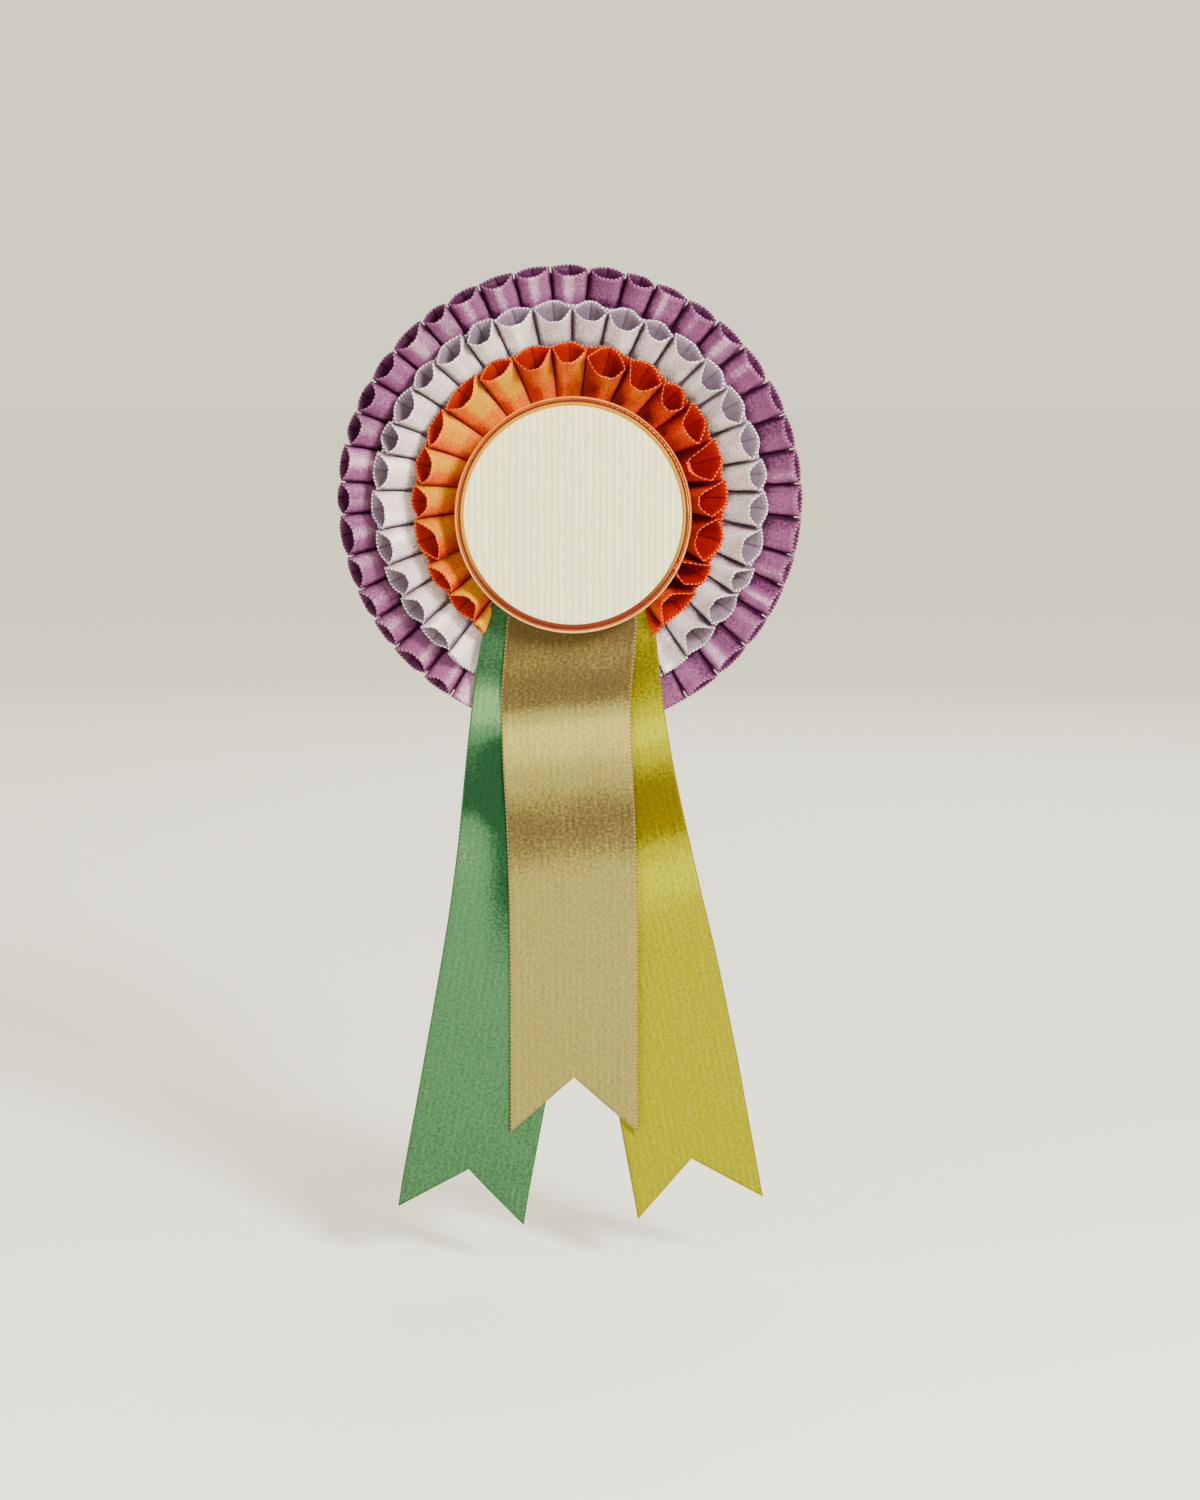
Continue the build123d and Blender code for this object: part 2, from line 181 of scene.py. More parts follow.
def ramp(tree, value, low, high, outLow=0.0, outHigh=1.0):
    wires = [("Value", value), ("From Min", low), ("From Max", high), ("To Min", outLow), ("To Max", outHigh)]
    return put(tree, "ShaderNodeMapRange", wires, interpolation_type="SMOOTHSTEP").outputs["Result"]


def mixColour(tree, amount, a, b, mode="MIX"):
    wires = [("Factor", amount), (6, a), (7, b)]
    return put(tree, "ShaderNodeMix", wires, data_type="RGBA", blend_type=mode).outputs[2]


def noise(tree, where, stretch, scale=1.0, detail=2.0):
    moved = put(tree, "ShaderNodeVectorMath", [(0, where), (1, stretch)], operation="MULTIPLY").outputs[0]
    return put(tree, "ShaderNodeTexNoise", [("Vector", moved), ("Scale", scale), ("Detail", detail)]).outputs[0]


def startGroup(name, takes, gives):
    group = bpy.data.node_groups.new(name, "ShaderNodeTree")
    for label, kind, value in takes:
        socket = group.interface.new_socket(name=label, in_out="INPUT", socket_type=kind)
        if value is not None:
            socket.default_value = value
    for label, kind in gives:
        group.interface.new_socket(name=label, in_out="OUTPUT", socket_type=kind)
    return group, group.nodes.new("NodeGroupInput"), group.nodes.new("NodeGroupOutput")


clothLines = {"warp": 0.00042, "weft": 0.00036, "rib": 0.0017, "stitch": 0.00095, "selvedge": (0.00026, 0.00048)}
clothMix = {
    "raggedGrain": 0.5, "raggedCloud": 0.16,
    "shadeBase": 0.38, "shadeStreak": 0.40, "shadeGrain": 0.85,
    "thread": 0.85,  # how far the stitched edge covers the satin
    "roughBase": 0.38, "roughGrain": 0.20, "roughEdge": 0.2,
    "bumpWeave": 0.14, "bumpGrain": 0.6, "bumpStreak": 0.5, "bumpRib": 4.0,
}


def makeSatinGroup():
    # ribbon satin: painted shade, plain and painted highlight tones from the painted light mask, painted shade inside
    # the folds, fine warp lines, grain and a stitched selvedge
    takes = [
        ("Cloth", "NodeSocketVector", None),
        ("Tone", "NodeSocketFloat", 0.5),
        ("Dark", "NodeSocketColor", (0.1, 0.1, 0.1, 1)),
        ("Face", "NodeSocketColor", (0.5, 0.5, 0.5, 1)),
        ("Light", "NodeSocketColor", (0.8, 0.8, 0.8, 1)),
        ("Inside", "NodeSocketColor", (0.2, 0.2, 0.2, 1)),
        ("Edge", "NodeSocketColor", (0.8, 0.8, 0.8, 1)),
        ("Front", "NodeSocketFloat", 1.0),
        ("Width", "NodeSocketFloat", 0.024),
        ("Ribs", "NodeSocketFloat", 0.0),
    ]
    gives = [("Color", "NodeSocketColor"), ("Roughness", "NodeSocketFloat"), ("Height", "NodeSocketFloat")]
    group, given, result = startGroup("ribbonSatin", takes, gives)
    cloth = given.outputs["Cloth"]
    parts = put(group, "ShaderNodeSeparateXYZ", [(0, cloth)])
    along, across = parts.outputs[0], parts.outputs[1]
    warp = calc(group, "SINE", calc(group, "MULTIPLY", across, tau / clothLines["warp"]))
    weft = calc(group, "SINE", calc(group, "MULTIPLY", along, tau / clothLines["weft"]))
    weave = calc(group, "MULTIPLY", warp, weft)
    streak = noise(group, cloth, (90, 2600, 0), detail=3)
    grain = noise(group, cloth, (1500, 1250, 0), detail=3)
    cloud = noise(group, cloth, (150, 110, 0), detail=2)
    # the painted sheen's edge is ragged, as it follows the threads
    ragged = calc(group, "MULTIPLY", calc(group, "SUBTRACT", grain, 0.5), clothMix["raggedGrain"])
    cloudy = calc(group, "MULTIPLY", calc(group, "SUBTRACT", cloud, 0.5), clothMix["raggedCloud"])
    ragged = calc(group, "ADD", ragged, cloudy)
    tone = calc(group, "ADD", given.outputs["Tone"], ragged, True)
    lowHalf = ramp(group, tone, 0.0, 0.5)
    highHalf = ramp(group, tone, 0.5, 1.0)
    face = mixColour(group, lowHalf, given.outputs["Dark"], given.outputs["Face"])
    face = mixColour(group, highHalf, face, given.outputs["Light"])
    # painted shade inside the folds: the inside colour, darker still where the painted light mask is low
    deepPaintedShade = mixColour(group, 0.55, given.outputs["Inside"], given.outputs["Dark"])
    inner = mixColour(group, ramp(group, tone, 0.1, 0.7), deepPaintedShade, given.outputs["Inside"])
    base = mixColour(group, given.outputs["Front"], inner, face)
    streaky = calc(group, "MULTIPLY", streak, clothMix["shadeStreak"])
    shade = calc(group, "ADD", streaky, calc(group, "MULTIPLY", grain, clothMix["shadeGrain"]))
    shade = calc(group, "ADD", shade, clothMix["shadeBase"])
    wave = calc(group, "SINE", calc(group, "MULTIPLY", across, tau / clothLines["rib"]))
    rib = calc(group, "MULTIPLY", wave, given.outputs["Ribs"])
    shade = calc(group, "ADD", shade, rib)
    level = put(group, "ShaderNodeCombineColor", [(0, shade), (1, shade), (2, shade)]).outputs[0]
    toned = mixColour(group, 1.0, base, level, "MULTIPLY")
    nearEdge = calc(group, "MINIMUM", across, calc(group, "SUBTRACT", given.outputs["Width"], across))
    edge = ramp(group, nearEdge, *clothLines["selvedge"], 1.0, 0.0)
    slant = calc(group, "ADD", along, calc(group, "MULTIPLY", nearEdge, 0.7))
    stitch = calc(group, "SINE", calc(group, "MULTIPLY", slant, tau / clothLines["stitch"]))
    thread = mixColour(group, ramp(group, stitch, -0.4, 0.4), given.outputs["Dark"], given.outputs["Edge"])
    coloured = mixColour(group, calc(group, "MULTIPLY", edge, clothMix["thread"]), toned, thread)
    rough = calc(group, "ADD", calc(group, "MULTIPLY", grain, clothMix["roughGrain"]), clothMix["roughBase"])
    rough = calc(group, "ADD", rough, calc(group, "MULTIPLY", edge, clothMix["roughEdge"]), True)
    woven = calc(group, "MULTIPLY", weave, clothMix["bumpWeave"])
    height = calc(group, "ADD", woven, calc(group, "MULTIPLY", grain, clothMix["bumpGrain"]))
    height = calc(group, "ADD", height, calc(group, "MULTIPLY", streak, clothMix["bumpStreak"]))
    ridge = calc(group, "MULTIPLY", edge, calc(group, "ADD", calc(group, "MULTIPLY", stitch, 0.4), 0.7))
    height = calc(group, "ADD", height, calc(group, "ADD", ridge, calc(group, "MULTIPLY", rib, clothMix["bumpRib"])))
    group.links.new(coloured, result.inputs["Color"])
    group.links.new(rough, result.inputs["Roughness"])
    group.links.new(height, result.inputs["Height"])
    return group


def makeWearGroup():
    # metal: fine scratches, smudges and slight tarnish, from object coordinates
    takes = [
        ("Tone", "NodeSocketColor", (0.7, 0.7, 0.7, 1)),
        ("Tarnish", "NodeSocketColor", (0.3, 0.28, 0.25, 1)),
        ("Roughness", "NodeSocketFloat", 0.25),
    ]
    gives = [("Color", "NodeSocketColor"), ("Roughness", "NodeSocketFloat"), ("Height", "NodeSocketFloat")]
    group, given, result = startGroup("metalWear", takes, gives)
    where = put(group, "ShaderNodeTexCoord").outputs["Object"]
    scratch = noise(group, where, (300, 4000, 4000), detail=3)
    smudge = noise(group, where, (350, 350, 350), detail=3)
    amount = ramp(group, smudge, 0.45, 0.75, 0.0, 0.45)
    colour = mixColour(group, amount, given.outputs["Tone"], given.outputs["Tarnish"])
    rough = calc(group, "ADD", given.outputs["Roughness"], calc(group, "MULTIPLY", smudge, 0.2), True)
    group.links.new(colour, result.inputs["Color"])
    group.links.new(rough, result.inputs["Roughness"])
    group.links.new(scratch, result.inputs["Height"])
    return group


def makeFibreGroup():
    # board, paper, felt and foam: speckle and fibres from object coordinates
    takes = [
        ("Light", "NodeSocketColor", (0.7, 0.7, 0.7, 1)),
        ("Dark", "NodeSocketColor", (0.4, 0.4, 0.4, 1)),
        ("Fineness", "NodeSocketFloat", 1.0),
    ]
    gives = [("Color", "NodeSocketColor"), ("Roughness", "NodeSocketFloat"), ("Height", "NodeSocketFloat")]
    group, given, result = startGroup("fibres", takes, gives)
    where = put(group, "ShaderNodeTexCoord").outputs["Object"]
    sized = put(group, "ShaderNodeVectorMath", [(0, where), ("Scale", given.outputs["Fineness"])], operation="SCALE")
    hairs = noise(group, sized.outputs[0], (700, 1500, 2600), detail=4)
    flecks = noise(group, sized.outputs[0], (1300, 1300, 1300), detail=2)
    both = calc(group, "MULTIPLY", calc(group, "ADD", hairs, flecks), 0.5)
    colour = mixColour(group, ramp(group, both, 0.35, 0.65), given.outputs["Dark"], given.outputs["Light"])
    rough = calc(group, "ADD", calc(group, "MULTIPLY", both, 0.15), 0.78, True)
    group.links.new(colour, result.inputs["Color"])
    group.links.new(rough, result.inputs["Roughness"])
    group.links.new(both, result.inputs["Height"])
    return group


satin = makeSatinGroup()
wear = makeWearGroup()
fibres = makeFibreGroup()


def freshMaterial(name, bumpDistance, bumpStrength):
    material = bpy.data.materials.new(name)
    material.use_nodes = True
    tree = material.node_tree
    shader = tree.nodes["Principled BSDF"]
    bump = put(tree, "ShaderNodeBump", [("Strength", bumpStrength), ("Distance", bumpDistance)])
    tree.links.new(bump.outputs["Normal"], shader.inputs["Normal"])
    return material, tree, shader, bump


def satinMaterial(name, look):
    material, tree, shader, bump = freshMaterial(name, 0.00005, 0.4)
    weave = tree.nodes.new("ShaderNodeGroup")
    weave.node_tree = satin
    tree.links.new(put(tree, "ShaderNodeUVMap", uv_map="cloth").outputs[0], weave.inputs["Cloth"])
    for mask in ("Front", "Tone"):
        reading = put(tree, "ShaderNodeAttribute", attribute_name=mask.lower()).outputs["Fac"]
        tree.links.new(reading, weave.inputs[mask])
    for shade in ("Dark", "Face", "Light", "Inside", "Edge"):
        colour = look[shade.lower()]
        if shade.lower() + "Far" in look:  # painted light on the rosette's left side, painted shade on its right: the colours change from one side to the other
            where = put(tree, "ShaderNodeTexCoord").outputs["Object"]
            side = put(tree, "ShaderNodeSeparateXYZ", [(0, where)]).outputs[0]
            mixed = mixColour(tree, ramp(tree, side, *look["sides"]), colour, look[shade.lower() + "Far"])
            tree.links.new(mixed, weave.inputs[shade])
        else:
            weave.inputs[shade].default_value = colour
    weave.inputs["Width"].default_value = look["width"]
    weave.inputs["Ribs"].default_value = look["ribs"]
    tree.links.new(weave.outputs["Color"], shader.inputs["Base Color"])
    tree.links.new(weave.outputs["Roughness"], shader.inputs["Roughness"])
    tree.links.new(weave.outputs["Height"], bump.inputs["Height"])
    shader.inputs["Specular IOR Level"].default_value = look["shine"]
    shader.inputs["Specular Tint"].default_value = look["light"]
    return material


def groupMaterial(name, group, values, metallic, bumpDistance, bumpStrength):
    material, tree, shader, bump = freshMaterial(name, bumpDistance, bumpStrength)
    finish = tree.nodes.new("ShaderNodeGroup")
    finish.node_tree = group
    for key, value in values.items():
        finish.inputs[key].default_value = value
    tree.links.new(finish.outputs["Color"], shader.inputs["Base Color"])
    tree.links.new(finish.outputs["Roughness"], shader.inputs["Roughness"])
    tree.links.new(finish.outputs["Height"], bump.inputs["Height"])
    shader.inputs["Metallic"].default_value = metallic
    return material


# mesh helpers


def clothGrid(name, columns, rows):
    bpy.ops.object.select_all(action="DESELECT")
    bpy.ops.mesh.primitive_grid_add(x_subdivisions=columns, y_subdivisions=rows, size=1)
    piece = bpy.context.object
    piece.name = name
    piece.data.name = name
    piece.data.uv_layers[0].name = "cloth"
    return piece


def gridPlaces(piece, columns, rows):
    # each vertex's column and row, from the flat grid
    return [(round((v.co.x + 0.5) * columns), round((v.co.y + 0.5) * rows)) for v in piece.data.vertices]


def layCloth(piece, places, point, front, tone, cloth):
    # moves the flat grid to its shape, with its flat size in its UVs and its two masks beside it: the front mask and
    # the painted light and shade
    frontMask = piece.data.attributes.new("front", "FLOAT", "POINT")
    paintedLightMask = piece.data.attributes.new("tone", "FLOAT", "POINT")
    for vertex, place in zip(piece.data.vertices, places):
        vertex.co = point[place]
        frontMask.data[vertex.index].value = front[place[0]]
        paintedLightMask.data[vertex.index].value = tone[place]
    uvs = piece.data.uv_layers["cloth"].data
    for loop in piece.data.loops:
        uvs[loop.index].uv = cloth(*places[loop.vertex_index])


def finishCloth(piece, thickness, closed):
    bpy.ops.object.mode_set(mode="EDIT")
    bpy.ops.mesh.select_all(action="SELECT")
    if closed:
        bpy.ops.mesh.remove_doubles(threshold=1e-6)
    bpy.ops.object.mode_set(mode="OBJECT")
    wall = piece.modifiers.new("thickness", "SOLIDIFY")
    wall.thickness = thickness
    wall.offset = 0
    wall.use_even_offset = False
    bpy.ops.object.modifier_apply(modifier=wall.name)
    bpy.ops.object.mode_set(mode="EDIT")
    bpy.ops.mesh.select_all(action="SELECT")
    bpy.ops.mesh.normals_make_consistent(inside=False)
    bpy.ops.object.mode_set(mode="OBJECT")
    bpy.ops.object.shade_smooth()


# pleated ribbons


def pleatHalf(fold):
    # from the middle of the back panel, in behind the front panel, out to the fold and up its front:
    # place across the pitch, how far it stands, layer
    rest = 1 - fold
    return [
        (-0.50, 0.0, 0.0),
        (-0.34, 0.0, 0.0),
        (-0.17, 0.0, 0.0),
        (-0.04, 0.01, 0.02),
        (-0.006, 0.03, 0.25),
        (-0.04, 0.05, 0.47),
        (-0.18, 0.30 * fold, 0.5),
        (-0.33, 0.68 * fold, 0.5),
        (-0.445, 0.94 * fold, 0.56),
        (-0.474, fold, 0.76),
        (-0.452, fold + 0.14 * rest, 0.97),
        (-0.36, fold + 0.52 * rest, 1.0),
        (-0.24, fold + 0.84 * rest, 1.0),
        (-0.11, fold + 0.98 * rest, 1.0),
    ]


# painted light and shade on the pleats: a painted gleam on each front panel, painted shade at its folds, on the inner
# layers, under the tier in front and on the folds behind
pleatPaintedLight = {
    "panel": 0.44,
    "gleam": (0.05, 0.50),
    "gleamAt": (-0.20, 0.18),
    "gleamReach": 0.26,
    "gleamSoftness": 0.25,
    "sideShade": 0.40,
    "inner": 0.30,
    "innerLift": 0.35,
    "paintedCoverShade": 0.30,  # painted shade where the tier in front lies over the panel
    "coverSoftness": 0.14,
    "behind": 0.35,  # painted shade on the folds behind, gone at the outer edge
    "behindTo": 0.78,
}


def pleatRing(look, dice):
    # the whole ribbon's control points: place round the ring in pitches, stand, layer, front mask,
    # how far the edge draws back, painted light and shade
    ring = []
    pleats = look["pleats"]
    bounds = [k - 0.5 + dice.uniform(-1, 1) * look["wander"] for k in range(pleats)]
    bounds.append(bounds[0] + pleats)
    for k in range(pleats):
        droop = look["droop"] * sin(k / look["pleats"] * tau)  # each pleat's lower end stands further out
        left = pleatHalf(look["fold"] + droop + dice.uniform(-1, 1) * look["uneven"])
        right = pleatHalf(look["fold"] - droop + dice.uniform(-1, 1) * look["uneven"])
        fuller = 1 + look["fuller"] * sin(k / look["pleats"] * tau)  # on the right, or the left where it is negative
        tall = fuller * (1 + dice.uniform(-1, 1) * look["uneven"] * 0.8)
        slip = dice.uniform(-1, 1) * look["uneven"] * 0.5
        gleam, gleamAt = dice.uniform(*pleatPaintedLight["gleam"]), dice.uniform(*pleatPaintedLight["gleamAt"])
        shine = dice.uniform(-1, 1) * look["patchy"]
        half = [(t, q, layer) for t, q, layer in left] + [(0.0, 0.98, 1.0)]
        half += [(-t, q, layer) for t, q, layer in reversed(right[1:])]
        for t, q, layer in half:
            shift = slip * (1 - abs(2 * t)) * q
            back = ease(abs(t), 0.08, 0.42) * (1 - ease(layer, 0.1, 0.5))
            place = (bounds[k] + bounds[k + 1]) / 2 + (t + shift) * (bounds[k + 1] - bounds[k])
            # front panels: a painted gleam, painted shade at the folds; inner layers: painted shade, deepest in the
            # middle of the loop
            if layer > 0.7:
                near = pleatPaintedLight["gleamReach"] - abs(t - gleamAt)
                tone = pleatPaintedLight["panel"] + gleam * ease(near, 0.0, pleatPaintedLight["gleamSoftness"])
                tone -= pleatPaintedLight["sideShade"] * ease(abs(t), 0.40, 0.47)
                tone += shine - look["turn"] * t / 0.45  # painted light on each panel's first half, painted shade on its second
            else:
                tone = pleatPaintedLight["inner"] + pleatPaintedLight["innerLift"] * ease(abs(t), 0.1, 0.45)
            ring.append((place, q * tall, layer, ease(layer, 0.7, 0.95), back, tone))
    return ring


def smoothRing(ring, turns, steps):
    # a closed smooth curve through the control points
    count = len(ring)
    curve = []
    for i in range(count):
        a, b, c, d = [ring[(i + j) % count] for j in (-1, 0, 1, 2)]
        offset = [-turns if i == 0 else 0, 0, turns if i + 1 >= count else 0, turns if i + 2 >= count else 0]
        for step in range(steps):
            t = step / steps
            values = []
            for axis in range(len(ring[0])):
                p = [point[axis] + (offset[n] if axis == 0 else 0) for n, point in enumerate((a, b, c, d))]
                values.append(0.5 * (2 * p[1] + (p[2] - p[0]) * t
                                     + (2 * p[0] - 5 * p[1] + 4 * p[2] - p[3]) * t * t
                                     + (3 * p[1] - p[0] - 3 * p[2] + p[3]) * t ** 3))
            curve.append(values)
    curve.append([curve[0][0] + turns, *curve[0][1:]])
    return curve


pleatLift = {"first": 0.00012, "top": 0.00115}  # pressed cloth over the card, and its top layer over that


def makeFrill(name, node, look):
    dice = random.Random(look["seed"])
    low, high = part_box(node)
    centre = Vector(((low.x + high.x) / 2, high.y, (low.z + high.z) / 2))
    outer = (high.x - low.x) / 2
    curve = smoothRing(pleatRing(look, dice), look["pleats"], 2)
    columns, rows = len(curve) - 1, look["rows"]
    width = look["width"]
    step = width / rows
    backRun = sum(step * cos(radians(look["backLean"]) * ease((j + 0.5) / rows, 0.25, 0.6)) for j in range(rows))
    point, front, paintedShading = {}, {}, {}
    for i, (place, stand, layer, mask, back, tone) in enumerate(curve):
        angle = place / look["pleats"] * tau
        fromBottom = abs((angle + pi) % tau - pi)
        press = look["pressTo"] + (1 - look["pressTo"]) * ease(fromBottom, *map(radians, look["pressed"]))
        radius = outer - backRun - back * look["notch"]
        height = pleatLift["first"] + layer * pleatLift["top"]
        front[i] = mask
        for j in range(rows + 1):
            point[i, j] = centre + Vector((radius * sin(angle), -height, -radius * cos(angle)))
            v = (j + 0.5) / rows
            # painted shade where the tier in front covers the panel, and on the folds behind
            paintedCoverShade = pleatPaintedLight["paintedCoverShade"] * (1 - ease(v, look["shows"], look["shows"] + pleatPaintedLight["coverSoftness"]))
            paintedSideLight = look["paintedSideLight"] * sin(angle) * mask  # painted light on the panels at the rosette's left, painted shade at its right
            behind = pleatPaintedLight["behind"] * (1 - mask) * (1 - ease(v, pleatPaintedLight["behindTo"], 1.0))
            paintedShading[i, j] = tone - paintedSideLight - paintedCoverShade - behind
            flare = ease(v, look["flareFrom"], 1.25) / ease(1, look["flareFrom"], 1.25)
            lean = radians(look["backLean"]) * ease(v, 0.25, 0.6) * press
            lean += radians(look["frontLean"]) * press * stand * flare
            radius += step * cos(lean)
            height += step * sin(lean)
    along = [0.0]
    for i in range(columns):
        along.append(along[-1] + (point[i + 1, rows - 2] - point[i, rows - 2]).length)
    piece = clothGrid(name, columns, rows)
    places = gridPlaces(piece, columns, rows)
    layCloth(piece, places, point, front, paintedShading, lambda i, j: (along[i], j * step))
    finishCloth(piece, look["thickness"], True)
    piece.data.materials.clear()
    piece.data.materials.append(satinMaterial(name + "Satin", look))
    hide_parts(node)
    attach(piece, "rosette")
    print(name, "pleated from", round(along[-1] * 1000), "mm of ribbon")


purpleFrill = {
    "pleats": 40, "rows": 14, "width": 0.024, "thickness": 0.00016, "seed": 4,
    "fold": 0.48, "uneven": 0.15, "droop": 0.12, "wander": 0.11, "notch": 0.0018, "paintedSideLight": 0.08, "fuller": -0.18,
    "turn": 0.14, "patchy": 0.08, "shine": 0.35, "ribs": 0.0, "shows": 0.64,
    "backLean": 2.0, "frontLean": 58, "flareFrom": 0.30,
    "pressed": (24, 36), "pressTo": 0.18,
    "dark": tint(48, 10, 40), "face": tint(122, 70, 108), "light": tint(192, 154, 174),
    "inside": tint(64, 18, 54), "edge": tint(150, 98, 136),
    "slot": "purple_satin", "card": "base_card",
}
whiteFrill = {
    "pleats": 33, "rows": 14, "width": 0.024, "thickness": 0.00016, "seed": 9,
    "fold": 0.46, "uneven": 0.14, "droop": 0.22, "wander": 0.11, "notch": 0.0012, "paintedSideLight": 0.04, "fuller": 0.06,
    "turn": 0.12, "patchy": 0.06, "shine": 0.35, "ribs": 0.0, "shows": 0.57,
    "backLean": 14.0, "frontLean": 66, "flareFrom": 0.25,
    "pressed": (30, 42), "pressTo": 0.03,
    "dark": tint(96, 78, 94), "face": tint(216, 202, 202), "light": tint(255, 250, 244),
    "inside": tint(112, 98, 114), "edge": tint(238, 232, 234),
    "slot": "white_satin", "card": "middle_card",
}
orangeFrill = {
    "pleats": 24, "rows": 14, "width": 0.024, "thickness": 0.00016, "seed": 15,
    "fold": 0.44, "uneven": 0.22, "droop": 0.18, "wander": 0.12, "notch": 0.0010, "paintedSideLight": 0.14, "fuller": 0.20,
    "turn": 0.36, "patchy": 0.14, "shine": 0.12, "ribs": 0.0, "shows": 0.57,
    "backLean": 15.0, "frontLean": 72, "flareFrom": 0.22,
    "pressed": (30, 42), "pressTo": 0.08,
    # darkFar, faceFar and lightFar are painted shade on the rosette's right side
    "dark": tint(140, 28, 0), "darkFar": tint(100, 2, 0),
    "face": tint(198, 84, 0), "faceFar": tint(212, 42, 0), "sides": (-0.004, 0.03),
    "light": tint(196, 144, 0), "lightFar": tint(226, 112, 0),
    "inside": tint(128, 4, 0), "edge": tint(220, 104, 30),
    "slot": "orange_satin", "card": "inner_card",
}

makeFrill("purpleFrill", "purple_ribbon", purpleFrill)
makeFrill("whiteFrill", "white_ribbon", whiteFrill)
makeFrill("orangeFrill", "orange_ribbon", orangeFrill)


# streamers

# bands: painted light and painted shade along each streamer's drop, darkest under the button; shade: strength of the
# painted shadow cast by the centre streamer on a side streamer
beigeTail = {
    "body": "centre_streamer", "shade": 0, "splay": 0.0, "width": 0.0315, "notch": 0.014, "rows": 130,
    "sway": [(0.020, 0.0), (0.030, -0.0004), (0.048, -0.0018), (0.062, -0.0015),
             (0.078, -0.0008), (0.094, -0.0002), (0.11, 0.0)],
    "paintedSheenBands": [(0.032, 0.0), (0.038, 0.14), (0.049, 0.12), (0.055, 0.95), (0.060, 0.88), (0.068, 0.45), (0.077, 0.13),
              (0.083, 0.14), (0.095, 0.5), (0.13, 0.52), (0.16, 0.45)],
    "dark": tint(72, 58, 32), "face": tint(118, 109, 58), "light": tint(148, 134, 68),
    "edge": tint(146, 126, 80), "slot": "beige_satin",
}
greenTail = {
    "body": "left_streamer", "shade": 0.6, "splay": -8.75, "width": 0.0315, "notch": 0.0121, "rows": 140,
    "sway": [(0.030, 0.0), (0.044, -0.0006), (0.070, 0.0004), (0.090, 0.0014),
             (0.108, 0.0016), (0.14, 0.0009), (0.17, 0.0)],
    "paintedSheenBands": [(0.034, 0.25), (0.043, 0.28), (0.048, 0.95), (0.053, 0.98), (0.060, 0.3), (0.067, 0.06), (0.075, 0.05),
              (0.083, 0.6), (0.10, 0.55), (0.13, 0.45), (0.17, 0.36)],
    "dark": tint(18, 52, 30), "face": tint(56, 92, 60), "light": tint(86, 121, 77),
    "edge": tint(66, 108, 66), "slot": "green_satin",
}
limeTail = {
    "body": "right_streamer", "shade": 0, "splay": 10.4, "width": 0.0315, "notch": 0.0129, "rows": 140,
    "sway": [(0.026, 0.0), (0.038, -0.0013), (0.052, -0.0024), (0.070, -0.0026),
             (0.095, -0.0017), (0.115, -0.0006), (0.14, 0.0)],
    "paintedSheenBands": [(0.035, 0.25), (0.044, 0.10), (0.052, 0.28), (0.059, 0.95), (0.066, 0.40), (0.073, 0.04), (0.083, 0.06),
              (0.093, 0.82), (0.108, 0.46), (0.13, 0.5), (0.17, 0.5)],
    "dark": tint(82, 70, 0), "face": tint(120, 117, 0), "light": tint(142, 142, 0),
    "edge": tint(130, 122, 10), "slot": "lime_satin",
}
for look in (beigeTail, greenTail, limeTail):
    look["inside"] = look["face"]
    look["shine"] = 0.35
    look["ribs"] = 0.05
    look["slant"] = 0.10  # the painted bands slope a little across the ribbon

drape = {  # drop below the rosette's centre, and how far forward of its fixed top
    "fall": [(0.036, 0.0), (0.042, -0.0008), (0.049, -0.0026), (0.056, -0.0019), (0.063, -0.0009), (0.070, -0.0024),
             (0.078, -0.0043), (0.085, -0.0036), (0.093, -0.0024), (0.102, -0.0026), (0.12, -0.0030), (0.16, -0.0026),
             (0.18, -0.0030)],
    "cup": 0.0003,
    "thickness": 0.00022,
    "columns": 28,
    "inset": 0.00025,  # from the CAD streamer's front to the cloth's middle
    "tabWidth": 0.017,
    "widens": (0.013, 0.030),  # drops where the folded top widens to the streamer
    # where the painted shadow of the centre streamer lies on a side streamer
    "shadeBeside": 0.008,
    "shadeFrom": (0.052, 0.066),
    "shadeTo": (0.085, 0.125),
    "hingeHalf": 0.0025,
}


def tailFoot(node, look):
    # middle of the line between the two tips
    low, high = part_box(node)
    turn = radians(look["splay"])
    half = look["width"] / 2
    if look["splay"] < 0:
        return low.x + half * cos(turn), low.z + half * abs(sin(turn))
    if look["splay"] > 0:
        return high.x - half * cos(turn), low.z + half * abs(sin(turn))
    return (low.x + high.x) / 2, low.z


